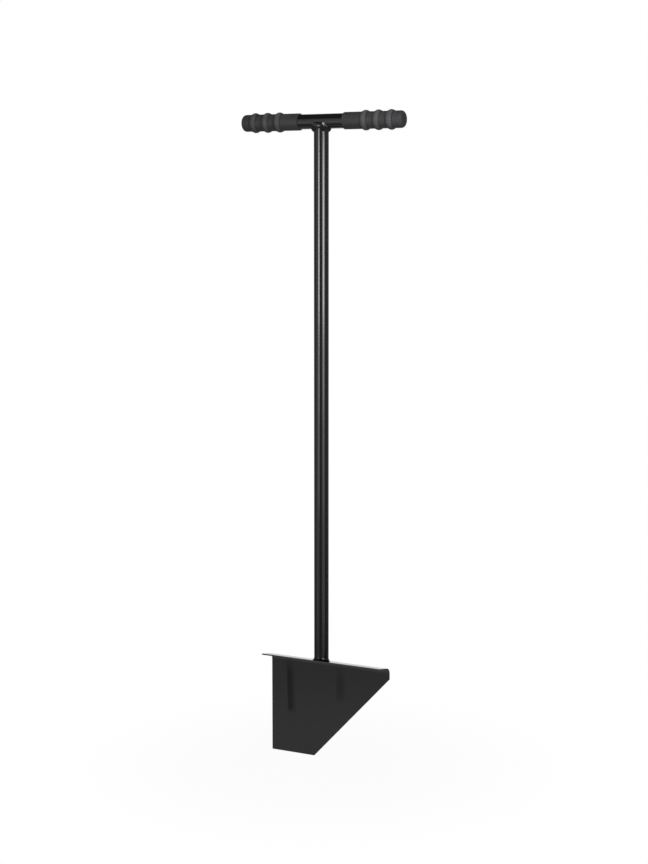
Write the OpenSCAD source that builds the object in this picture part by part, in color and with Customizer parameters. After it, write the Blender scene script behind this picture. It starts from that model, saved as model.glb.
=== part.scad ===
// Step edger: a welded steel lawn edger with a T handle.
// A folded plate is blade and foot tread in one. A tube stands on the tread and
// carries a crossbar with a push-on grip at each end. Weld beads join the steel pieces.
// Frame: +Z up along the shaft, +X along the blade and the crossbar, -Y towards the front
// edge of the tread. The origin is on the shaft's axis, level with the blade's bottom edge.
// All lengths are in millimetres.

/* [Tubes] */
// Outside diameter of the shaft and of the crossbar
tube_od = 22; // [18:0.5:30]
// Wall of both tubes
tube_wall = 1.5; // [1:0.1:3]
// Height of the crossbar's centre line above the tread, along the shaft's axis
shaft_rise = 809; // [500:1:1100]
// Length of the crossbar, end to end
crossbar_len = 258; // [220:1:400]
// How far the crossbar's middle stands to the right of the shaft's axis
crossbar_shift = 2; // [-10:0.5:10]

/* [Blade and tread] */
// Thickness of the folded sheet
sheet_t = 2; // [1.5:0.1:4]
// Height from the bottom edge up to the tread, along the shaft's axis
blade_h = 157.5; // [110:0.5:250]
// Reach of the blade to the left of the shaft's axis
blade_left = 96; // [50:1:150]
// Reach of the blade to the right of the shaft's axis
blade_right = 106; // [50:1:160]
// Length of the level bottom edge, from the left edge on
bottom_edge_len = 74; // [20:1:90]
// Drop from the tread, along the shaft's axis, to the top of the slanting edge
right_drop = 21; // [18:0.5:60]
// Inside radius of the fold between blade and tread
fold_r = 8.5; // [1:0.5:10]
// Rise of the tread towards its front edge, in degrees
tread_slope = 11; // [0:0.5:15]
// Flat of the tread in front of the tube
tread_front = 3.5; // [2:0.1:40]
// Distance from the shaft's axis back to the rear face of the blade
blade_back = 19.5; // [16:0.1:50]

/* [Grips] */
// Length of a grip, mouth to closed end
grip_len = 95.5; // [90:0.5:105]
// Wall of the grip's barrel
grip_wall = 1.5; // [1.2:0.1:4]
// Thickness of the grip's closed end
grip_end_t = 3.2; // [2.5:0.1:6]
// Radius round the rim of the closed end
grip_end_r = 5; // [2:0.1:6]
// Number of raised ribs
rib_count = 3; // [1:1:3]
// Distance from one rib's crest to the next
rib_pitch = 20.5; // [14:0.1:24]
// Distance from the closed end to the first rib's crest
rib_start = 20.2; // [14:0.1:26]
// Width of a rib at its foot
rib_w = 11; // [6:0.1:13]
// Height of a rib above the barrel
rib_h = 2.25; // [1:0.05:4]

/* [Welds] */
// Leg of the weld between the shaft and the crossbar
upper_weld_leg = 4.5; // [3:0.1:6]
// Leg of the weld round the shaft's foot
lower_weld_leg = 2.5; // [2:0.1:4]

/* [Hidden] */
$fn = 96;
// Facets of the cuts that seat the saddle weld on both tubes
seat_fn = 240;

// Overrun of every cut past the face it goes through
overrun = 1;
// Root gap left between the coped shaft and the crossbar, which the weld bridges
cope_gap = 0.1;
// Play between a grip's bore and the crossbar
grip_play = 0;

// Flats that make up the curve of the fold
fold_steps = 16;

// Sections along the saddle weld, and corners of each section
weld_steps = 48;
weld_sides = 10;
// Radius of the saddle weld's section, as a share of its leg
bead_radius_share = 0.8;
// How far the section's centre stands out of the groove at the sides, as a share of the leg
bead_rise_share = 0.27;
// How far it lies below the surface at front and back, as a share of the leg
bead_sink_share = 0.45;
// How softly the saddle line turns over at front and back, as a share of the tube's radius
bead_turn_share = 0.5;

tube_r = tube_od / 2;
tube_bore_r = tube_r - tube_wall;

// Levels on the shaft's axis
tread_z = blade_h;
crossbar_z = tread_z + shaft_rise;

// Folded sheet, front to back. The tread's top is the plane through the shaft's axis at
// tread_z that climbs towards the front, and the fold rounds off its rear end.
fold_outer_r = fold_r + sheet_t;
tread_front_y = -tube_r - tread_front;
fold_y = blade_back - fold_outer_r;
fold_z = tread_z - fold_y * tan(tread_slope) - fold_outer_r / cos(tread_slope);
flat_end_y = fold_y + fold_outer_r * sin(tread_slope);
tread_len = (flat_end_y - tread_front_y) / cos(tread_slope);
tread_top_z = tread_z - tread_front_y * tan(tread_slope);

// The lower weld stays behind the tread's front edge
lower_leg = min(lower_weld_leg, tread_front);

// Grip, turned about the crossbar's axis
grip_bore_r = tube_r + grip_play;
grip_barrel_r = grip_bore_r + grip_wall;
grip_end_x = crossbar_len / 2 + grip_end_t;
grip_mouth_x = grip_end_x - grip_len;
grip_bore_len = grip_len - grip_end_t;
rib_crest_r = grip_barrel_r + rib_h;
// Radius of the arc that spans a rib's foot and crest
rib_arc_r = (rib_w * rib_w / 4 + rib_h * rib_h) / (2 * rib_h);

// Saddle weld
bead_r = upper_weld_leg * bead_radius_share;
bead_rise = upper_weld_leg * bead_rise_share;
bead_sink = upper_weld_leg * bead_sink_share;

// Blade and tread

// Points round the fold at one radius, from the blade up to the tread
function fold_arc(r) = [
    for (i = [0 : fold_steps])
        let (a = (90 - tread_slope) * i / fold_steps)
        [fold_y + r * cos(a), fold_z + r * sin(a)]
];

// Front edge of the tread, at the same radius from the fold's axis
function tread_edge(r) = [
    fold_y + r * sin(tread_slope) - tread_len * cos(tread_slope),
    fold_z + r * cos(tread_slope) + tread_len * sin(tread_slope)
];

function reversed(list) = [for (i = [len(list) - 1 : -1 : 0]) list[i]];

// Cross-section of the folded sheet: blade, fold and tread, drawn with Y across and Z up
module sheet_section() {
    polygon(concat(
        [[blade_back, 0]],
        fold_arc(fold_outer_r),
        [tread_edge(fold_outer_r), tread_edge(fold_r)],
        reversed(fold_arc(fold_r)),
        [[blade_back - sheet_t, 0]]
    ));
}

// Outline of the sheet from the front, drawn with X across and Z up
module blade_outline() {
    polygon([
        [-blade_left, 0],
        [-blade_left + bottom_edge_len, 0],
        [blade_right, tread_z - right_drop],
        [blade_right, tread_top_z + overrun],
        [-blade_left, tread_top_z + overrun]
    ]);
}

module blade() {
    color("#2c2c2d")
        intersection() {
            translate([-blade_left, 0, 0])
                rotate([90, 0, 90])
                    linear_extrude(blade_left + blade_right)
                        sheet_section();
            translate([0, blade_back + overrun, 0])
                rotate([90, 0, 0])
                    linear_extrude(blade_back - tread_front_y + 2 * (overrun + sheet_t))
                        blade_outline();
        }
}

// Tubes

// Everything below the plane of the tread's top, out to a reach
module under_tread(reach) {
    translate([0, 0, tread_z])
        rotate([-tread_slope, 0, 0])
            translate([-reach, -reach, -reach])
                cube([2 * reach, 2 * reach, reach]);
}

// A round bar along X at the crossbar's place
module crossbar_bar(r, len) {
    translate([crossbar_shift - len / 2, 0, crossbar_z])
        rotate([0, 90, 0])
            cylinder(r = r, h = len);
}

module shaft_tube() {
    color("#1d1d1e")
        difference() {
            translate([0, 0, tread_z - tube_od])
                cylinder(r = tube_r, h = shaft_rise + tube_od);
            translate([0, 0, tread_z - tube_od - overrun])
                cylinder(r = tube_bore_r, h = shaft_rise + tube_od + 2 * overrun);
            crossbar_bar(tube_r + cope_gap, 2 * tube_od);
            under_tread(2 * tube_od);
        }
}

module crossbar_tube() {
    color("#1d1d1e")
        difference() {
            crossbar_bar(tube_r, crossbar_len);
            crossbar_bar(tube_bore_r, crossbar_len + 2 * overrun);
        }
}

// Grips

// Half section of a grip: X is the radius, Y runs from the mouth to the closed end
module grip_section() {
    difference() {
        union() {
            square([grip_barrel_r, grip_len - grip_end_r]);
            square([grip_barrel_r - grip_end_r, grip_len]);
            translate([grip_barrel_r - grip_end_r, grip_len - grip_end_r])
                intersection() {
                    circle(r = grip_end_r);
                    square([grip_end_r, grip_end_r]);
                }
            for (i = [0 : rib_count - 1])
                translate([0, grip_len - rib_start - i * rib_pitch])
                    intersection() {
                        translate([rib_crest_r - rib_arc_r, 0])
                            circle(r = rib_arc_r);
                        translate([grip_bore_r, -rib_w])
                            square([rib_crest_r, 2 * rib_w]);
                    }
        }
        translate([-overrun, -overrun])
            square([grip_bore_r + overrun, grip_bore_len + overrun]);
    }
}

// A grip on the +X end of a crossbar that stands centred on the shaft
module grip() {
    color("#333334")
        translate([grip_mouth_x, 0, crossbar_z])
            rotate([0, 90, 0])
                rotate_extrude()
                    grip_section();
}

module right_grip() {
    translate([crossbar_shift, 0, 0])
        grip();
}

module left_grip() {
    translate([crossbar_shift, 0, 0])
        mirror([1, 0, 0])
            grip();
}

// Welds

function unit(v) = v / norm(v);

// How far the saddle line lies below the crossbar's centre line, as a share of the tube's
// radius, for the cosine of the angle round the shaft. It follows the cope and turns over
// softly where the cope comes to a point.
function saddle_drop(c) =
    let (lift = bead_turn_share / 2)
    (sqrt(c * c + bead_turn_share * bead_turn_share) - lift)
        / (sqrt(1 + bead_turn_share * bead_turn_share) - lift);

function saddle_point(a) = [
    tube_r * cos(a),
    tube_r * sin(a),
    crossbar_z - tube_r * saddle_drop(abs(cos(a)))
];

// Direction out of the groove, half way between the two tubes' outward normals
function groove_out(a) = unit([cos(a), 2 * sin(a), -saddle_drop(abs(cos(a)))]);

// Centre of the bead's section
function bead_centre(a) =
    let (side = abs(cos(a)))
    saddle_point(a) + groove_out(a) * (bead_rise * side - bead_sink * (1 - side));

// Corners of the section at one angle, square to the bead's run
function bead_ring(a) =
    let (
        step = 360 / weld_steps,
        run = unit(bead_centre(a + step) - bead_centre(a - step)),
        across = unit(cross(run, groove_out(a))),
        lift = cross(across, run)
    )
    [
        for (j = [0 : weld_sides - 1])
            let (b = 360 * j / weld_sides)
            bead_centre(a) + bead_r * (lift * cos(b) + across * sin(b))
    ];

// Closed bead that follows the saddle line once round the shaft
module saddle_bead() {
    points = [for (i = [0 : weld_steps - 1]) each bead_ring(360 * i / weld_steps)];
    faces = [
        for (i = [0 : weld_steps - 1], j = [0 : weld_sides - 1])
            let (
                i2 = (i + 1) % weld_steps,
                j2 = (j + 1) % weld_sides,
                p = i * weld_sides + j,
                q = i * weld_sides + j2,
                r = i2 * weld_sides + j2,
                s = i2 * weld_sides + j
            )
            each [[p, q, r], [p, r, s]]
    ];
    polyhedron(points, faces);
}

module upper_weld() {
    color("#1d1d1e")
        difference() {
            saddle_bead();
            translate([0, 0, crossbar_z - 2 * tube_od])
                cylinder(r = tube_r, h = 2 * tube_od, $fn = seat_fn);
            crossbar_bar(tube_r, 4 * tube_od, $fn = seat_fn);
        }
}

// Quarter-round bead on the sloping tread, cut to fit the upright tube
module lower_weld() {
    color("#1d1d1e")
        difference() {
            translate([0, 0, tread_z])
                rotate([-tread_slope, 0, 0])
                    rotate_extrude()
                        translate([tube_r, 0]) {
                            translate([-tube_wall, 0])
                                square([tube_wall, lower_leg]);
                            intersection() {
                                circle(r = lower_leg);
                                square([lower_leg, lower_leg]);
                            }
                        }
            translate([0, 0, tread_z - tube_od])
                cylinder(r = tube_r, h = 2 * tube_od);
        }
}

blade();
shaft_tube();
crossbar_tube();
left_grip();
right_grip();
upper_weld();
lower_weld();
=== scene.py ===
"""Looks of a step edger with a T handle: coated steel, rubber grips and a small studio."""

import math

import bmesh
import bpy
from bpy.props import FloatProperty, FloatVectorProperty, IntProperty, PointerProperty
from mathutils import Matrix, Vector


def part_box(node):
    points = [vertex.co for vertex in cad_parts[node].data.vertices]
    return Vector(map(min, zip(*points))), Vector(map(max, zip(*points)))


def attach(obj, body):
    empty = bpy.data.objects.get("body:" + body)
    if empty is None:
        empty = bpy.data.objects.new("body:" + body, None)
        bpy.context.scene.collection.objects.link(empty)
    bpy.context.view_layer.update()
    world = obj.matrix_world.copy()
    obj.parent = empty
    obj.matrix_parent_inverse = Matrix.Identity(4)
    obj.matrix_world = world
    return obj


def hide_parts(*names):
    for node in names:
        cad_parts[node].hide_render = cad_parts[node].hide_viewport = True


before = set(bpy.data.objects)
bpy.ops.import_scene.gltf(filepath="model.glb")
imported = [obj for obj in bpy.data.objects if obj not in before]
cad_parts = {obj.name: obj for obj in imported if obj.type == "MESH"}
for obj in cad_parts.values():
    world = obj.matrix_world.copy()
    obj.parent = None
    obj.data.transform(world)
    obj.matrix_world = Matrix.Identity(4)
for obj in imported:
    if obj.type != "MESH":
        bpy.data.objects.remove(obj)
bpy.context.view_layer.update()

bl_info = {
    "name": "Step Edger",
    "version": (1, 0, 0),
    "blender": (4, 5, 0),
    "location": "View3D > Sidebar > Edger",
    "description": "Models the dressed pieces of a step edger and the stage it stands on",
    "category": "Object",
}

# Places taken from the CAD nodes, in metres
BLADE_LOW, BLADE_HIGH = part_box("blade")
BAR_LOW, BAR_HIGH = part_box("crossbar_tube")
GRIP_LOW, GRIP_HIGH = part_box("right_grip")
LEFT_GRIP_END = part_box("left_grip")[0].x
TUBE_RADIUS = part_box("shaft_tube")[1].x

# Fineness of the meshes
ROUND_SIDES = 96
COPE_SIDES = 192
FOLD_STEPS = 20
BEAD_STATIONS = 216
BEAD_SIDES = 36
MERGE_DISTANCE = 0.000002

# A distance too small to see
HAIR = 0.0001

# Dabs of metal in the weld beads, each with its angle round the shaft in degrees and two lengths
# Upper bead: depth of its lower edge below the crossbar's axis, and swell
UPPER_DABS = (
    (-160, 0.0157, 0.0008),
    (-122, 0.0113, 0.0017),
    (-84, 0.0112, 0.0018),
    (-40, 0.0152, 0.0006),
    (-8, 0.0155, 0.0006),
    (30, 0.0157, 0.0009),
    (70, 0.0149, 0.0011),
    (112, 0.0153, 0.0009),
    (152, 0.0155, 0.0009),
)
# Lower bead: how much further than the rest it runs out on the tread, and swell over the hollow face
LOWER_DABS = (
    (-170, 0.0, 0.0),
    (-132, 0.0002, 0.0001),
    (-96, 0.0006, 0.0002),
    (-66, 0.0007, 0.0001),
    (-38, 0.0005, -0.0003),
    (-8, 0.0001, 0.0001),
    (28, 0.0, 0.0),
    (70, -0.0004, 0.0002),
    (112, -0.0004, 0.0),
    (152, 0.0, 0.0002),
)
# Fall-off to both sides of a dab in degrees
UPPER_DAB_WIDTH = 18
LOWER_DAB_WIDTH = 15
RIPPLES_PER_TURN = 31

# Most values of a noise texture lie between these
NOISE_LOW = 0.3
NOISE_HIGH = 0.7

# The photo's camera, with its lens and sensor in millimetres
CAMERA_PLACE = (1.1899954, -2.2691960, 0.8314470)
CAMERA_TURN = math.radians(27.5855)
CAMERA_TILT = math.radians(7.1909)
CAMERA_LENS = 71.875
CAMERA_SENSOR = 36

# The floor, just below the object
FLOOR_RADIUS = 0.6
FLOOR_LEVEL = -0.0004

# Two strip lights, each a bright core, a taller halo round it and a dim tail below
LEFT_STRIP = (-0.352, -1.969)
RIGHT_STRIP = (1.746, -0.976)
LEFT_STRIP_WIDTH = 0.5
RIGHT_STRIP_WIDTH = 0.92
# Name, share of the strip's distance, height of the middle, length, watts on the left and on the right
STRIP_PARTS = (
    ("core", 0.96, 0.785, 0.47, 6.1, 8.9),
    ("halo", 0.98, 0.73, 0.82, 5.6, 7.5),
    ("tail", 0.97, 0.19, 0.26, 0.75, 0.62),
)


# Settings a user would change

class EdgerBladeSettings(bpy.types.PropertyGroup):
    """Sizes of the folded blade."""
    sheet_thickness: FloatProperty(
        name="Sheet thickness", description="Thickness of the blade's sheet",
        default=0.002, min=0.001, max=0.004, unit="LENGTH")
    bottom_edge: FloatProperty(
        name="Bottom edge", description="Length of the level edge at the bottom",
        default=0.074, min=0.02, max=0.15, unit="LENGTH")
    right_edge_height: FloatProperty(
        name="Right edge height", description="Height at which the slanting edge ends on the right",
        default=0.1365, min=0.08, max=0.14, unit="LENGTH")
    fold_radius: FloatProperty(
        name="Fold radius", description="Inside radius of the fold under the tread",
        default=0.0085, min=0.001, max=0.01, unit="LENGTH")
    tread_height: FloatProperty(
        name="Tread height", description="Height of the tread's top on the shaft's axis",
        default=0.1575, min=0.1, max=0.2, unit="LENGTH")
    tread_slope: FloatProperty(
        name="Tread slope", description="Rise of the tread towards its front edge",
        default=math.radians(11), min=0, max=math.radians(20), subtype="ANGLE")
    tread_front: FloatProperty(
        name="Tread front", description="How far the tread's top reaches in front of the shaft's axis",
        default=0.0145, min=0.012, max=0.03, unit="LENGTH")
    edge_round: FloatProperty(
        name="Edge round", description="Radius that the coat gives to the sheet's edges",
        default=0.0004, min=0.0001, max=0.0008, unit="LENGTH")


class EdgerTubeSettings(bpy.types.PropertyGroup):
    """Sizes of the shaft and the crossbar."""
    radius: FloatProperty(
        name="Radius", description="Outside radius of both tubes",
        default=TUBE_RADIUS, min=0.008, max=0.016, unit="LENGTH")
    wall: FloatProperty(
        name="Wall", description="Wall thickness of both tubes",
        default=0.0015, min=0.001, max=0.003, unit="LENGTH")
    bar_height: FloatProperty(
        name="Crossbar height", description="Height of the crossbar's axis",
        default=(BAR_LOW.z + BAR_HIGH.z) / 2, min=0.7, max=1.2, unit="LENGTH")
    cope_gap: FloatProperty(
        name="Cope gap", description="Gap between the shaft's coped end and the crossbar",
        default=0.0001, min=0, max=0.001, unit="LENGTH")


class EdgerGripSettings(bpy.types.PropertyGroup):
    """Sizes of the push-on grips."""
    barrel_radius: FloatProperty(
        name="Barrel radius", description="Outside radius between the ribs",
        default=0.0125, min=0.0115, max=0.016, unit="LENGTH")
    rib_height: FloatProperty(
        name="Rib height", description="How far the ribs stand out of the barrel",
        default=0.00225, min=0.0005, max=0.004, unit="LENGTH")
    rib_foot: FloatProperty(
        name="Rib foot", description="Width of a rib at its foot, fillets included",
        default=0.013, min=0.006, max=0.018, unit="LENGTH")
    rib_start: FloatProperty(
        name="First rib", description="From the closed end to the middle of the first rib",
        default=0.0202, min=0.01, max=0.03, unit="LENGTH")
    rib_pitch: FloatProperty(
        name="Rib pitch", description="From one rib to the next",
        default=0.0205, min=0.015, max=0.03, unit="LENGTH")
    rib_count: IntProperty(
        name="Ribs", description="Number of ribs on each grip", default=3, min=1, max=4)
    end_round: FloatProperty(
        name="End round", description="Radius of the closed end's rim",
        default=0.005, min=0.001, max=0.01, unit="LENGTH")
    end_thickness: FloatProperty(
        name="End thickness", description="Thickness of the closed end",
        default=0.0032, min=0.001, max=0.006, unit="LENGTH")


class EdgerWeldSettings(bpy.types.PropertyGroup):
    """Sizes of the weld beads."""
    upper_reach: FloatProperty(
        name="Upper reach", description="How far the upper bead runs out along the crossbar",
        default=0.0045, min=0.002, max=0.007, unit="LENGTH")
    lower_rise: FloatProperty(
        name="Lower rise", description="How far the lower bead climbs the shaft",
        default=0.0048, min=0.002, max=0.008, unit="LENGTH")
    lower_reach: FloatProperty(
        name="Lower reach", description="How far the lower bead runs out on the tread",
        default=0.0027, min=0.0015, max=0.006, unit="LENGTH")
    lower_hollow: FloatProperty(
        name="Lower hollow", description="How far the lower bead's face is hollowed",
        default=0.0006, min=0, max=0.002, unit="LENGTH")
    ripple: FloatProperty(
        name="Ripple", description="Height of the ripples that the welding leaves on a bead",
        default=0.00003, min=0, max=0.001, unit="LENGTH")


class EdgerFinishSettings(bpy.types.PropertyGroup):
    """Colours of the finishes and of the stage."""
    coat_colour: FloatVectorProperty(
        name="Coat colour", description="Colour of the powder coat on the steel",
        default=(0.0055, 0.0055, 0.0067), min=0, max=1, subtype="COLOR")
    coat_roughness: FloatProperty(
        name="Coat roughness", description="Roughness of the powder coat",
        default=0.13, min=0.05, max=1, subtype="FACTOR")
    rubber_colour: FloatVectorProperty(
        name="Rubber colour", description="Colour of the grips",
        default=(0.0261, 0.0258, 0.0276), min=0, max=1, subtype="COLOR")
    # The ribs simply get a paler colour than the barrel
    rib_colour: FloatVectorProperty(
        name="Rib colour", description="Colour of the ribs, where hands have rubbed the grips pale",
        default=(0.0485, 0.048, 0.051), min=0, max=1, subtype="COLOR")
    # Painted shade: the creases at the ribs' feet get this darker colour where shade falls
    painted_crease_shade: FloatVectorProperty(
        name="Crease colour", description="Colour in the creases at the ribs' feet",
        default=(0.012, 0.0119, 0.0126), min=0, max=1, subtype="COLOR")
    rubber_roughness: FloatProperty(
        name="Rubber roughness", description="Roughness of the grips",
        default=0.66, min=0.1, max=1, subtype="FACTOR")
    floor_colour: FloatVectorProperty(
        name="Floor colour", description="Colour of the floor",
        default=(0.5, 0.5, 0.5), min=0, max=1, subtype="COLOR")


# Helpers for modelling by operators

def leave_edit_mode():
    """Goes to object mode with nothing selected."""
    if bpy.context.object and bpy.context.object.mode != "OBJECT":
        bpy.ops.object.mode_set(mode="OBJECT")
    bpy.ops.object.select_all(action="DESELECT")


def open_whole(piece):
    """Goes to edit mode with the whole piece selected."""
    bpy.context.view_layer.objects.active = piece
    bpy.ops.object.mode_set(mode="EDIT")
    bpy.ops.mesh.select_all(action="SELECT")


def name_new_piece(name):
    """Names the object that an operator has just added and returns it."""
    piece = bpy.context.object
    piece.name = name
    piece.data.name = name
    return piece


def place_in_mesh():
    """Moves the new piece's place, turn and scale into its mesh."""
    bpy.ops.object.transform_apply(location=True, rotation=True, scale=True)


def add_cylinder(name, radius, length, middle, lying, sides=ROUND_SIDES, ends="NOTHING"):
    """Adds a cylinder that stands upright or lies along X, open at both ends unless ends fills them."""
    leave_edit_mode()
    bpy.ops.mesh.primitive_cylinder_add(
        vertices=sides, radius=radius, depth=length, end_fill_type=ends,
        location=middle, rotation=(0, math.pi / 2 if lying else 0, 0))
    cylinder = name_new_piece(name)
    place_in_mesh()
    return cylinder


def select_edges(piece, wanted):
    """In edit mode, selects only the edges whose two ends both pass the test."""
    bpy.ops.mesh.select_mode(type="EDGE")
    bpy.ops.mesh.select_all(action="DESELECT")
    shape = bmesh.from_edit_mesh(piece.data)
    for edge in shape.edges:
        if all(wanted(vertex.co) for vertex in edge.verts):
            edge.select_set(True)
    shape.select_flush_mode()
    bmesh.update_edit_mesh(piece.data)


def selected_middle(piece):
    """In edit mode, the middle of the selected vertices."""
    shape = bmesh.from_edit_mesh(piece.data)
    points = [vertex.co for vertex in shape.verts if vertex.select]
    if not points:
        raise RuntimeError("Nothing is selected on " + piece.name)
    return sum(points, Vector()) / len(points)


def apply_modifier(piece, kind, **values):
    """Adds a modifier with these values and applies it."""
    bpy.context.view_layer.objects.active = piece
    modifier = piece.modifiers.new(kind.title(), kind)
    for key, value in values.items():
        setattr(modifier, key, value)
    bpy.ops.object.modifier_apply(modifier=modifier.name)


def merge_and_turn_outwards(piece):
    """Merges doubled vertices and points the faces outwards."""
    open_whole(piece)
    bpy.ops.mesh.remove_doubles(threshold=MERGE_DISTANCE)
    bpy.ops.mesh.normals_make_consistent(inside=False)
    bpy.ops.object.mode_set(mode="OBJECT")


def smooth_below(piece, degrees):
    """Smooth shading across edges that are flatter than this angle."""
    leave_edit_mode()
    piece.select_set(True)
    bpy.context.view_layer.objects.active = piece
    bpy.ops.object.shade_smooth_by_angle(angle=math.radians(degrees))
    piece.select_set(False)


def finish_piece(piece, material, slot, *nodes):
    """Gives a piece its finish, ties it to the body and lets it stand for its CAD nodes."""
    piece.data.materials.clear()
    piece.data.materials.append(material)
    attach(piece, "root")
    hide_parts(*nodes)


# Helpers for materials and the world

def add_node(material, kind, **values):
    """A node of this kind, with values set on its properties or, by name, on its inputs."""
    node = material.node_tree.nodes.new(kind)
    for key, value in values.items():
        if key in node.inputs:
            node.inputs[key].default_value = value
        else:
            setattr(node, key, value)
    return node


def join(material, source, target):
    """Links two sockets."""
    material.node_tree.links.new(source, target)


def new_surface(name):
    """A material with its shader and the Object coordinates that its patterns read."""
    material = bpy.data.materials.new(name)
    material.use_nodes = True
    shader = material.node_tree.nodes["Principled BSDF"]
    place = add_node(material, "ShaderNodeTexCoord")
    return material, shader, place


def work_out(material, operation, *values):
    """One sum, with values that are sockets or numbers."""
    node = add_node(material, "ShaderNodeMath", operation=operation)
    for socket, value in zip(node.inputs, values):
        if isinstance(value, bpy.types.NodeSocket):
            join(material, value, socket)
        else:
            socket.default_value = value
    return node.outputs[0]


def multiply(material, product, *others):
    """The product of sockets and numbers."""
    for other in others:
        product = work_out(material, "MULTIPLY", product, other)
    return product


def rise_between(material, value, start, end, low=0.0, high=1.0, interpolation="SMOOTHSTEP"):
    """Goes from low to high while the value goes from start to end."""
    span = add_node(material, "ShaderNodeMapRange", interpolation_type=interpolation)
    span.inputs["From Min"].default_value = start
    span.inputs["From Max"].default_value = end
    span.inputs["To Min"].default_value = low
    span.inputs["To Max"].default_value = high
    join(material, value, span.inputs["Value"])
    return span.outputs["Result"]


def add_noise(material, place, waves, detail):
    """Noise of this many waves per metre on the piece's own coordinates."""
    noise = add_node(material, "ShaderNodeTexNoise", Scale=waves, Detail=detail)
    join(material, place.outputs["Object"], noise.inputs["Vector"])
    return noise.outputs["Fac"]


def cloudy_colour(material, noise, colour, spread):
    """A colour that wanders lighter and darker with the noise."""
    ramp = add_node(material, "ShaderNodeValToRGB")
    ramp.color_ramp.elements[0].position = NOISE_LOW
    ramp.color_ramp.elements[1].position = NOISE_HIGH
    ramp.color_ramp.elements[0].color = [*(part * (1 - spread) for part in colour), 1]
    ramp.color_ramp.elements[1].color = [*(part * (1 + spread) for part in colour), 1]
    join(material, noise, ramp.inputs["Fac"])
    return ramp.outputs["Color"]


def vary_roughness(material, shader, noise, middle, spread):
    """Lets the roughness wander round its middle with the noise."""
    roughness = rise_between(
        material, noise, NOISE_LOW, NOISE_HIGH, middle - spread, middle + spread, interpolation="LINEAR")
    join(material, roughness, shader.inputs["Roughness"])


def add_bumps(material, shader, *heights):
    """Bumps from pairs of noise and height in metres, laid over each other."""
    below = None
    for noise, height in heights:
        bump = add_node(material, "ShaderNodeBump", Strength=1.0, Distance=height)
        join(material, noise, bump.inputs["Height"])
        if below:
            join(material, below.outputs["Normal"], bump.inputs["Normal"])
        below = bump
    join(material, below.outputs["Normal"], shader.inputs["Normal"])


# Finishes

def coated_surface(name):
    """Semi-gloss black powder coat with a fine orange peel."""
    finish = bpy.context.scene.edger_finish
    material, shader, place = new_surface(name)
    shader.inputs["IOR"].default_value = 1.5
    clouds = add_noise(material, place, waves=45, detail=4)
    wear = add_noise(material, place, waves=18, detail=0)
    peel = add_noise(material, place, waves=900, detail=2)
    specks = add_noise(material, place, waves=2600, detail=1)
    colour = cloudy_colour(material, clouds, finish.coat_colour, spread=0.16)
    join(material, colour, shader.inputs["Base Color"])
    vary_roughness(material, shader, wear, finish.coat_roughness, spread=0.012)
    add_bumps(material, shader, (peel, 0.0000007), (specks, 0.0000002))
    return material, shader, place


def powder_coat():
    """The coat of the tubes and the welds, made once."""
    known = bpy.data.materials.get("powder_coat")
    if known:
        return known
    return coated_surface("powder_coat")[0]


def painted_dark_reflection(material, axes, edges, lean, low, soft, strength):
    """A painted dark reflection: an upright streak of lower gloss on the blade that grows fainter close
    under the tread.

    edges are where it starts, is full, begins to fade and ends along X, at height 0. They shift to the left
    by lean times the height. The mark's lower end is at the height low, and is blurred by soft up and down.
    """
    start, full, fade, end = edges
    height = axes.outputs["Z"]
    shift = multiply(material, height, lean)
    along = work_out(material, "ADD", axes.outputs["X"], shift)
    left_side = rise_between(material, along, start, full)
    right_side = rise_between(material, along, end, fade)
    lower_end = rise_between(material, height, low - soft, low + soft)
    under_tread = rise_between(material, height, start=0.146, end=0.12, low=0.3)
    return multiply(material, left_side, right_side, lower_end, under_tread, strength)


def blade_coat():
    """The blade's coat, with two painted dark reflections: upright streaks of lower gloss on its front
    under the tread.
    """
    full_gloss = 0.5
    painted_reflection_gloss_cut = 0.27
    blur = 0.0002
    material, shader, place = coated_surface("blade_coat")
    axes = add_node(material, "ShaderNodeSeparateXYZ")
    join(material, place.outputs["Object"], axes.inputs[0])
    # Painted dark reflections: two upright streaks where the coat's gloss is lowered
    left = painted_dark_reflection(
        material, axes, edges=(-0.0672, -0.0642, -0.0615, -0.049), lean=0.03, low=0.066, soft=0.006,
        strength=0.95)
    right = painted_dark_reflection(
        material, axes, edges=(0.015, 0.019, 0.025, 0.034), lean=0.0, low=0.0955, soft=0.009,
        strength=0.5)
    painted_reflections = work_out(material, "MAXIMUM", left, right)
    middle = BLADE_HIGH.y - bpy.context.scene.edger_blade.sheet_thickness / 2
    front = rise_between(material, axes.outputs["Y"], middle + blur, middle - blur)
    painted_reflections = multiply(material, painted_reflections, front)
    # Lower gloss in the streaks, which paints them as dark reflections
    gloss = work_out(material, "MULTIPLY_ADD", painted_reflections, -painted_reflection_gloss_cut, full_gloss)
    join(material, gloss, shader.inputs["Specular IOR Level"])
    return material


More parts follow.
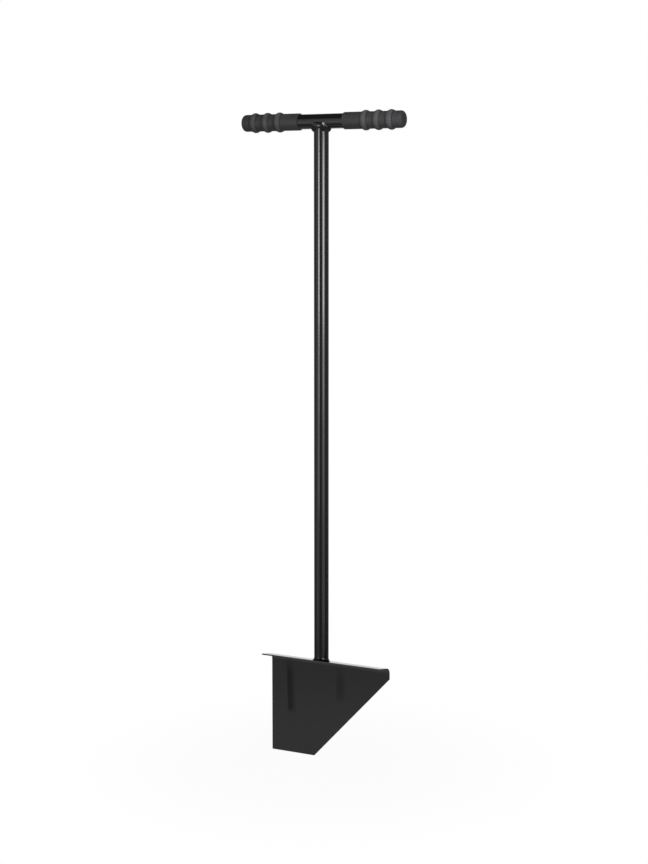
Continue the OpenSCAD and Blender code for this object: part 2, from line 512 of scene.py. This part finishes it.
def grip_rubber():
    """Matte black rubber with a moulded grain, pale on the ribs and with painted shade in the creases at
    their feet, made once.
    """
    known = bpy.data.materials.get("moulded_rubber")
    if known:
        return known
    scene = bpy.context.scene
    finish = scene.edger_finish
    sizes = scene.edger_grips
    material, shader, place = new_surface("moulded_rubber")
    shader.inputs["IOR"].default_value = 1.5
    shader.inputs["Specular IOR Level"].default_value = 0.38
    clouds = add_noise(material, place, waves=60, detail=5)
    grain = add_noise(material, place, waves=1500, detail=3)
    sag = add_noise(material, place, waves=190, detail=2)

    # Distance from the crossbar's axis, from just below the barrel's surface up to the ribs' flanks
    across = add_node(material, "ShaderNodeVectorMath", operation="MULTIPLY_ADD")
    across.inputs[1].default_value = (0, 1, 1)
    across.inputs[2].default_value = (0, 0, -scene.edger_tubes.bar_height)
    radius = add_node(material, "ShaderNodeVectorMath", operation="LENGTH")
    join(material, place.outputs["Object"], across.inputs[0])
    join(material, across.outputs["Vector"], radius.inputs[0])
    barrel = sizes.barrel_radius - HAIR
    flank = sizes.barrel_radius + sizes.rib_height / 2
    height = rise_between(material, radius.outputs["Value"], barrel, flank, interpolation="LINEAR")

    # Colours by that distance: the barrel, painted shade in the creases at the ribs' feet, and the paler
    # ribs
    rings = add_node(material, "ShaderNodeValToRGB")
    stops = rings.color_ramp.elements
    stops[0].position = 0.1
    stops[0].color = [*finish.rubber_colour, 1]
    stops[1].position = 0.95
    stops[1].color = [*finish.rib_colour, 1]
    for position in (0.22, 0.4):
        stops.new(position).color = [*finish.painted_crease_shade, 1]
    join(material, height, rings.inputs["Fac"])

    shade = (0.87, 0.87, 0.87)
    # The ring colours, painted crease shade included, varied by cloudy noise
    ring_tone_with_painted_shade = add_node(material, "ShaderNodeMix", data_type="RGBA", blend_type="MULTIPLY")
    ring_tone_with_painted_shade.inputs["Factor"].default_value = 1.0
    cloudy = cloudy_colour(material, clouds, shade, spread=0.14)
    join(material, rings.outputs["Color"], ring_tone_with_painted_shade.inputs["A"])
    join(material, cloudy, ring_tone_with_painted_shade.inputs["B"])
    join(material, ring_tone_with_painted_shade.outputs["Result"], shader.inputs["Base Color"])
    vary_roughness(material, shader, clouds, finish.rubber_roughness, spread=0.06)
    add_bumps(material, shader, (sag, 0.00003), (grain, 0.000015))
    return material


# Pieces

class EDGER_OT_blade(bpy.types.Operator):
    """Models the blade: a flat plate, cut on the slant and folded over into the tread"""
    bl_idname = "edger.blade"
    bl_label = "Blade"

    def execute(self, context):
        sizes = context.scene.edger_blade
        slope = sizes.tread_slope
        thickness = sizes.sheet_thickness
        left = BLADE_LOW.x
        right = BLADE_HIGH.x
        middle_y = BLADE_HIGH.y - thickness / 2
        fold_y = BLADE_HIGH.y - thickness - sizes.fold_radius
        outer_radius = sizes.fold_radius + thickness
        fold_z = sizes.tread_height - fold_y * math.tan(slope) - outer_radius / math.cos(slope)

        leave_edit_mode()
        bpy.ops.mesh.primitive_plane_add(
            size=1, location=((left + right) / 2, middle_y, fold_z / 2), rotation=(math.pi / 2, 0, 0))
        blade = name_new_piece("edger_blade")
        blade.scale = (right - left, fold_z, 1)
        place_in_mesh()
        open_whole(blade)

        # The slanting edge is cut from the bottom edge's end up to the right edge
        corner_x = left + sizes.bottom_edge
        bpy.ops.mesh.bisect(
            plane_co=(corner_x, middle_y, 0),
            plane_no=(sizes.right_edge_height, 0, corner_x - right),
            clear_outer=True)

        # The top edge is rolled over the fold and drawn out into the tread
        select_edges(blade, lambda point: point.z > fold_z - HAIR)
        bpy.ops.mesh.spin(
            steps=FOLD_STEPS, angle=math.pi / 2 - slope, center=(0, fold_y, fold_z), axis=(-1, 0, 0))
        start = selected_middle(blade)
        along = Vector((0, -math.cos(slope), math.sin(slope)))
        tread_end = -sizes.tread_front - thickness / 2 * math.sin(slope)
        reach = (start.y - tread_end) / math.cos(slope)
        bpy.ops.mesh.extrude_edges_move(TRANSFORM_OT_translate={"value": along * reach})
        bpy.ops.object.mode_set(mode="OBJECT")

        merge_and_turn_outwards(blade)
        apply_modifier(blade, "SOLIDIFY", thickness=thickness, offset=0, use_even_offset=True)
        smooth_below(blade, degrees=30)
        apply_modifier(
            blade, "BEVEL", width=sizes.edge_round, segments=3, limit_method="ANGLE",
            angle_limit=math.radians(40), harden_normals=True)
        finish_piece(blade, blade_coat(), "steel_coat", "blade")
        return {"FINISHED"}


class EDGER_OT_tubes(bpy.types.Operator):
    """Models the shaft, cut to the tread's slope and coped at the top, and the crossbar"""
    bl_idname = "edger.tubes"
    bl_label = "Tubes"

    def execute(self, context):
        sizes = context.scene.edger_tubes
        blade = context.scene.edger_blade
        spare = 0.01
        low = blade.tread_height - spare

        shaft = add_cylinder(
            "edger_shaft", radius=sizes.radius, length=sizes.bar_height - low,
            middle=(0, 0, (sizes.bar_height + low) / 2), lying=False)
        open_whole(shaft)
        bpy.ops.mesh.bisect(
            plane_co=(0, 0, blade.tread_height),
            plane_no=(0, math.sin(blade.tread_slope), math.cos(blade.tread_slope)),
            clear_inner=True)
        bpy.ops.object.mode_set(mode="OBJECT")
        merge_and_turn_outwards(shaft)
        apply_modifier(shaft, "SOLIDIFY", thickness=sizes.wall, offset=-1)

        # The cope is cut by a rod that lies where the crossbar goes
        rod = add_cylinder(
            "cope_rod", radius=sizes.radius + sizes.cope_gap, length=sizes.radius * 4,
            middle=(0, 0, sizes.bar_height), lying=True, sides=COPE_SIDES, ends="NGON")
        apply_modifier(shaft, "BOOLEAN", operation="DIFFERENCE", object=rod, solver="EXACT")
        bpy.data.objects.remove(rod, do_unlink=True)
        smooth_below(shaft, degrees=30)
        finish_piece(shaft, powder_coat(), "steel_coat", "shaft_tube")

        bar = add_cylinder(
            "edger_crossbar", radius=sizes.radius, length=BAR_HIGH.x - BAR_LOW.x,
            middle=((BAR_LOW.x + BAR_HIGH.x) / 2, 0, sizes.bar_height), lying=True)
        merge_and_turn_outwards(bar)
        apply_modifier(bar, "SOLIDIFY", thickness=sizes.wall, offset=-1)
        smooth_below(bar, degrees=30)
        finish_piece(bar, powder_coat(), "steel_coat", "crossbar_tube")
        return {"FINISHED"}


def grip_profile(sizes, bore, length):
    """Points of half a grip's section from the closed end on, as distance from the mouth and radius."""
    barrel = sizes.barrel_radius
    rim = sizes.end_round
    lip = 0.0005
    rim_steps = 10
    half_rib_steps = 12
    lip_steps = 4
    flank_power = 1.6
    points = [(length, 0.0), (length, (barrel - rim) / 2), (length, barrel - rim)]
    for step in range(1, rim_steps + 1):
        turn = math.pi / 2 * step / rim_steps
        points.append((length - rim + rim * math.cos(turn), barrel - rim + rim * math.sin(turn)))
    for rib in range(sizes.rib_count):
        middle = length - sizes.rib_start - rib * sizes.rib_pitch
        for step in range(2 * half_rib_steps + 1):
            share = step / half_rib_steps - 1
            rise = sizes.rib_height * math.cos(share * math.pi / 2) ** flank_power
            points.append((middle - share * sizes.rib_foot / 2, barrel + rise))
    for step in range(lip_steps + 1):
        turn = math.pi / 2 * step / lip_steps
        points.append((lip - lip * math.sin(turn), barrel - lip + lip * math.cos(turn)))
    inside = length - sizes.end_thickness
    points += [(0.0, bore), (inside, bore), (inside, 0.0)]
    return points


class EDGER_OT_grips(bpy.types.Operator):
    """Models one ribbed grip by spinning its section, and copies it to the other end of the crossbar"""
    bl_idname = "edger.grips"
    bl_label = "Grips"

    def execute(self, context):
        sizes = context.scene.edger_grips
        tubes = context.scene.edger_tubes
        mouth = GRIP_LOW.x
        profile = grip_profile(sizes, tubes.radius, GRIP_HIGH.x - mouth)
        stations = [Vector((mouth + along, 0, tubes.bar_height + radius)) for along, radius in profile]

        # The section is drawn point by point from a small plane that is merged into its middle
        leave_edit_mode()
        bpy.ops.mesh.primitive_plane_add(size=0.001, location=stations[0])
        right = name_new_piece("edger_grip_right")
        place_in_mesh()
        open_whole(right)
        bpy.ops.mesh.select_mode(type="VERT")
        bpy.ops.mesh.merge(type="CENTER")
        for before, after in zip(stations, stations[1:]):
            bpy.ops.mesh.extrude_vertices_move(TRANSFORM_OT_translate={"value": after - before})
        bpy.ops.mesh.select_all(action="SELECT")
        bpy.ops.mesh.spin(
            steps=ROUND_SIDES, angle=math.tau, center=(0, 0, tubes.bar_height), axis=(1, 0, 0))
        bpy.ops.object.mode_set(mode="OBJECT")
        merge_and_turn_outwards(right)
        smooth_below(right, degrees=40)

        # The left grip is the same moulding, turned the other way round
        leave_edit_mode()
        right.select_set(True)
        context.view_layer.objects.active = right
        bpy.ops.object.duplicate(linked=False)
        left = name_new_piece("edger_grip_left")
        open_whole(left)
        middle = (LEFT_GRIP_END + GRIP_HIGH.x) / 2
        bpy.ops.transform.resize(value=(-1, 1, 1), center_override=(middle, 0, tubes.bar_height))
        bpy.ops.mesh.normals_make_consistent(inside=False)
        bpy.ops.object.mode_set(mode="OBJECT")

        finish_piece(right, grip_rubber(), "grip_rubber", "right_grip")
        finish_piece(left, grip_rubber(), "grip_rubber", "left_grip")
        return {"FINISHED"}


def nearness(turn, angle, width):
    """1 at a dab's middle, falling off to both sides."""
    apart = (math.degrees(turn) - angle + 180) % 360 - 180
    return math.exp(-(apart / width) ** 2)


def blend_dabs(turn, dabs, width):
    """Both values of the dabs at an angle, weighed by nearness."""
    shares = [nearness(turn, dab[0], width) for dab in dabs]
    return [sum(share * dab[i] for share, dab in zip(shares, dabs)) / sum(shares) for i in (1, 2)]


def lay_bead(name, section):
    """Lays a closed bead round the shaft.

    section gives, for an angle, the seen side's lower and upper end, the three corners of the hidden side
    from the upper end to the lower one, all as radius and height, and how far the seen side swells out.
    """
    ring = 0.02
    seen = math.radians(110)
    fullness = 0.8
    leave_edit_mode()
    bpy.ops.mesh.primitive_torus_add(
        major_radius=ring, minor_radius=ring / 4, location=(0, 0, 0),
        major_segments=BEAD_STATIONS, minor_segments=BEAD_SIDES)
    bead = name_new_piece(name)
    for vertex in bead.data.vertices:
        turn = math.atan2(vertex.co.y, vertex.co.x)
        lean = math.atan2(vertex.co.z, math.hypot(vertex.co.x, vertex.co.y) - ring)
        low, high, hidden, swell = section(turn)
        if abs(lean) <= seen:
            share = (lean / seen + 1) / 2
            run = high - low
            out = Vector((run.y, -run.x)).normalized()
            place = low + run * share + out * swell * math.sin(math.pi * share) ** fullness
        else:
            share = 2 * (lean % math.tau - seen) / (math.tau - 2 * seen)
            corner = min(int(share), 1)
            place = hidden[corner].lerp(hidden[corner + 1], share - corner)
        vertex.co = (place.x * math.cos(turn), place.x * math.sin(turn), place.y)
    merge_and_turn_outwards(bead)
    smooth_below(bead, degrees=60)
    return bead


class EDGER_OT_welds(bpy.types.Operator):
    """Lays the bead under the crossbar and the bead round the shaft's foot"""
    bl_idname = "edger.welds"
    bl_label = "Welds"

    def execute(self, context):
        sizes = context.scene.edger_welds
        tubes = context.scene.edger_tubes
        blade = context.scene.edger_blade
        slope = math.tan(blade.tread_slope)
        radius = tubes.radius
        axis = tubes.bar_height
        sunk = 0.0005
        most_droop = 0.001
        most_of_bar = 0.995

        def ripples(turn):
            """Height of the ripples at an angle."""
            return sizes.ripple * math.sin(turn * RIPPLES_PER_TURN)

        def under_bar(turn):
            """Section of the upper bead, whose outer edge stays on the crossbar's lower half."""
            across = abs(math.sin(turn))
            depth, swell = blend_dabs(turn, UPPER_DABS, UPPER_DAB_WIDTH)
            reach = radius + sizes.upper_reach
            if reach * across > radius * most_of_bar:
                reach = radius * most_of_bar / across
            drop = math.sqrt(radius ** 2 - (reach * across) ** 2)
            low = Vector((radius, axis - depth))
            high = Vector((reach, axis - drop))
            inwards = Vector((-reach * across ** 2, drop)).normalized()
            root = Vector((radius - sunk, axis - radius * abs(math.cos(turn)) + sunk))
            hidden = (high + inwards * sunk, root, low + Vector((-sunk, sunk)))
            return low, high, hidden, swell + ripples(turn)

        def on_tread(turn):
            """Section of the lower bead, which droops where it runs over the tread's front edge."""
            further, swell = blend_dabs(turn, LOWER_DABS, LOWER_DAB_WIDTH)
            reach = radius + sizes.lower_reach + further
            foot = blade.tread_height - radius * math.sin(turn) * slope
            edge = blade.tread_height - reach * math.sin(turn) * slope
            over = max(-reach * math.sin(turn) - blade.tread_front + blade.edge_round, 0)
            low = Vector((reach, edge - min(over * 2, most_droop)))
            high = Vector((radius, foot + sizes.lower_rise))
            corner = Vector((radius - sunk, foot - sunk))
            hidden = (high + Vector((-sunk, -sunk)), corner, low + Vector((-2 * sunk, -sunk)))
            return low, high, hidden, swell - sizes.lower_hollow + ripples(turn)

        upper = lay_bead("edger_upper_weld", under_bar)
        finish_piece(upper, powder_coat(), "steel_coat", "upper_weld")
        lower = lay_bead("edger_lower_weld", on_tread)
        finish_piece(lower, powder_coat(), "steel_coat", "lower_weld")
        return {"FINISHED"}


# Stage

def add_softbox(name, place, aim, size, watts, in_gloss=True, in_diffuse=True):
    """A rectangular lamp that looks at a point, and may be left out of reflections or of soft light."""
    lamp = bpy.data.lights.new(name, "AREA")
    lamp.shape = "RECTANGLE"
    lamp.size = size[0]
    lamp.size_y = size[1]
    lamp.energy = watts
    holder = bpy.data.objects.new(name, lamp)
    bpy.context.collection.objects.link(holder)
    holder.location = place
    holder.rotation_euler = (Vector(aim) - Vector(place)).to_track_quat("-Z", "Y").to_euler()
    holder.visible_camera = False
    holder.visible_glossy = in_gloss
    holder.visible_diffuse = in_diffuse


def hang_lamps():
    """Strips that only show in reflections, cards round them, and soft light from in front and above."""
    for part, near, height, length, left_watts, right_watts in STRIP_PARTS:
        sides = (
            ("left_", LEFT_STRIP, LEFT_STRIP_WIDTH, left_watts),
            ("right_", RIGHT_STRIP, RIGHT_STRIP_WIDTH, right_watts))
        for side, spot, width, watts in sides:
            place = (spot[0] * near, spot[1] * near, height)
            add_softbox(
                side + part, place, aim=(0, 0, height), size=(width, length), watts=watts, in_diffuse=False)
    add_softbox("left_card", place=(-1.05, -1.82, 0.97), aim=(0, 0, 0.97), size=(1.96, 2.7), watts=9.6)
    add_softbox("right_card", place=(1.746, -0.976, 0.6), aim=(0, 0, 0.6), size=(1.9, 1.9), watts=8.4)
    add_softbox("low_card", place=(-0.96, -1.81, 0.45), aim=(0, 0, 0.45), size=(0.6, 0.7), watts=0.5)
    add_softbox(
        "front_key", place=(0.3, -0.36, 1.08), aim=(0.06, 0, 0.966), size=(0.3, 0.3), watts=2.95,
        in_gloss=False)
    add_softbox("overhead", place=(0, 0, 2.6), aim=(0, 0, 0), size=(2.2, 2.2), watts=20, in_gloss=False)


def seen_in_gloss(material, path):
    """1 for rays that come from a reflection or through glass."""
    mirrored = path.outputs["Is Glossy Ray"]
    through = path.outputs["Is Transmission Ray"]
    return work_out(material, "MAXIMUM", mirrored, through)


def pale_floor():
    """Pale floor that the camera sees almost white, with the object's shadow kept, a faint painted shade
    round the object and, in reflections, a painted pool of light there.
    """
    finish = bpy.context.scene.edger_finish
    material, shader, place = new_surface("pale_floor")
    shader.inputs["Base Color"].default_value = [*finish.floor_colour, 1]
    shader.inputs["Roughness"].default_value = 0.9
    shader.inputs["Specular IOR Level"].default_value = 0.1
    glow = add_node(material, "ShaderNodeEmission", Strength=1.0)
    path = add_node(material, "ShaderNodeLightPath")
    distance = add_node(material, "ShaderNodeVectorMath", operation="LENGTH")
    join(material, place.outputs["Object"], distance.inputs[0])
    away = distance.outputs["Value"]
    # Close to the object the camera sees a little of the lit grey floor: the real shadow, and a faint
    # painted shade all round
    white = rise_between(material, away, start=0.1, end=0.45, low=0.96)
    # Painted pool of light: in reflections the floor glows brighter close to the object
    pale = rise_between(material, away, start=0.05, end=0.55, low=0.57, high=0.31)
    seen = multiply(material, path.outputs["Is Camera Ray"], white)
    mirrored = multiply(material, seen_in_gloss(material, path), pale)
    share = work_out(material, "MAXIMUM", seen, mirrored)
    blend = add_node(material, "ShaderNodeMixShader")
    join(material, share, blend.inputs["Fac"])
    join(material, shader.outputs[0], blend.inputs[1])
    join(material, glow.outputs[0], blend.inputs[2])
    join(material, blend.outputs[0], material.node_tree.nodes["Material Output"].inputs["Surface"])
    return material


def along_direction(world, place, direction):
    """How far the world's own direction points along this one."""
    product = add_node(world, "ShaderNodeVectorMath", operation="DOT_PRODUCT")
    product.inputs[1].default_value = direction
    join(world, place.outputs["Generated"], product.inputs[0])
    return product.outputs["Value"]


def light_world(behind, sideways):
    """White background and soft even light, and in reflections a dim room with a white far wall."""
    soft_light = 0.15
    world = bpy.data.worlds.new("studio")
    bpy.context.scene.world = world
    world.use_nodes = True
    background = world.node_tree.nodes["Background"]
    background.inputs["Color"].default_value = (1, 1, 1, 1)
    path = add_node(world, "ShaderNodeLightPath")
    place = add_node(world, "ShaderNodeTexCoord")
    ahead = along_direction(world, place, behind)
    aside = along_direction(world, place, sideways)
    up = along_direction(world, place, (0, 0, 1))

    # The far wall is narrow and reaches up to about 30 degrees
    off_middle = work_out(world, "ABSOLUTE", aside)
    wall = multiply(
        world,
        rise_between(world, off_middle, start=0.2, end=0.1, high=1.05),
        rise_between(world, ahead, start=0.1, end=0.4),
        rise_between(world, up, start=0.6, end=0.4))

    # The ground is pale, and a dim ring of room stands all round
    ground = rise_between(world, up, start=-0.15, end=-0.45, low=0.02, high=0.2)
    ring = multiply(
        world,
        rise_between(world, up, start=-0.35, end=-0.15, high=0.28),
        rise_between(world, up, start=0.45, end=0.2))
    room = work_out(world, "MAXIMUM", ring, ground)
    mirrored = work_out(world, "MAXIMUM", wall, room)

    level = add_node(world, "ShaderNodeMix", data_type="FLOAT")
    level.inputs["A"].default_value = soft_light
    join(world, seen_in_gloss(world, path), level.inputs["Factor"])
    join(world, mirrored, level.inputs["B"])
    shown = work_out(world, "MAXIMUM", level.outputs["Result"], path.outputs["Is Camera Ray"])
    join(world, shown, background.inputs["Strength"])


class EDGER_OT_stage(bpy.types.Operator):
    """Sets the floor, the lamps, the background and the camera"""
    bl_idname = "edger.stage"
    bl_label = "Stage"

    def execute(self, context):
        scene = context.scene
        scene.view_settings.view_transform = "Standard"

        leave_edit_mode()
        bpy.ops.mesh.primitive_circle_add(
            vertices=ROUND_SIDES, radius=FLOOR_RADIUS, fill_type="NGON", location=(0, 0, FLOOR_LEVEL))
        floor = name_new_piece("stage_floor")
        place_in_mesh()
        floor.data.materials.append(pale_floor())

        behind = (-math.sin(CAMERA_TURN), math.cos(CAMERA_TURN), 0)
        sideways = (math.cos(CAMERA_TURN), math.sin(CAMERA_TURN), 0)
        light_world(behind, sideways)
        hang_lamps()

        lens = bpy.data.cameras.new("photo_camera")
        lens.sensor_width = CAMERA_SENSOR
        lens.lens = CAMERA_LENS
        camera = bpy.data.objects.new("photo_camera", lens)
        context.collection.objects.link(camera)
        camera.location = CAMERA_PLACE
        camera.rotation_euler = (math.pi / 2 - CAMERA_TILT, 0, CAMERA_TURN)
        scene.camera = camera
        return {"FINISHED"}


class EDGER_PT_panel(bpy.types.Panel):
    """Lists the pieces and the settings"""
    bl_label = "Step Edger"
    bl_idname = "EDGER_PT_panel"
    bl_space_type = "VIEW_3D"
    bl_region_type = "UI"
    bl_category = "Edger"

    def draw(self, context):
        for name in GROUPS:
            group = getattr(context.scene, name)
            box = self.layout.box()
            for setting in group.__annotations__:
                box.prop(group, setting)
        for operator in OPERATORS:
            self.layout.operator(operator.bl_idname)


OPERATORS = (EDGER_OT_blade, EDGER_OT_tubes, EDGER_OT_grips, EDGER_OT_welds, EDGER_OT_stage)
GROUPS = {
    "edger_blade": EdgerBladeSettings,
    "edger_tubes": EdgerTubeSettings,
    "edger_grips": EdgerGripSettings,
    "edger_welds": EdgerWeldSettings,
    "edger_finish": EdgerFinishSettings,
}


def register():
    """Registers the settings, the operators and the panel."""
    for name, group in GROUPS.items():
        bpy.utils.register_class(group)
        setattr(bpy.types.Scene, name, PointerProperty(type=group))
    for operator in OPERATORS:
        bpy.utils.register_class(operator)
    bpy.utils.register_class(EDGER_PT_panel)


def unregister():
    """Takes back all that register added."""
    bpy.utils.unregister_class(EDGER_PT_panel)
    for operator in reversed(OPERATORS):
        bpy.utils.unregister_class(operator)
    for name, group in reversed(GROUPS.items()):
        delattr(bpy.types.Scene, name)
        bpy.utils.unregister_class(group)


def main():
    """Builds the pieces and the stage."""
    register()
    bpy.ops.edger.blade()
    bpy.ops.edger.tubes()
    bpy.ops.edger.grips()
    bpy.ops.edger.welds()
    bpy.ops.edger.stage()


if __name__ == "__main__":
    main()
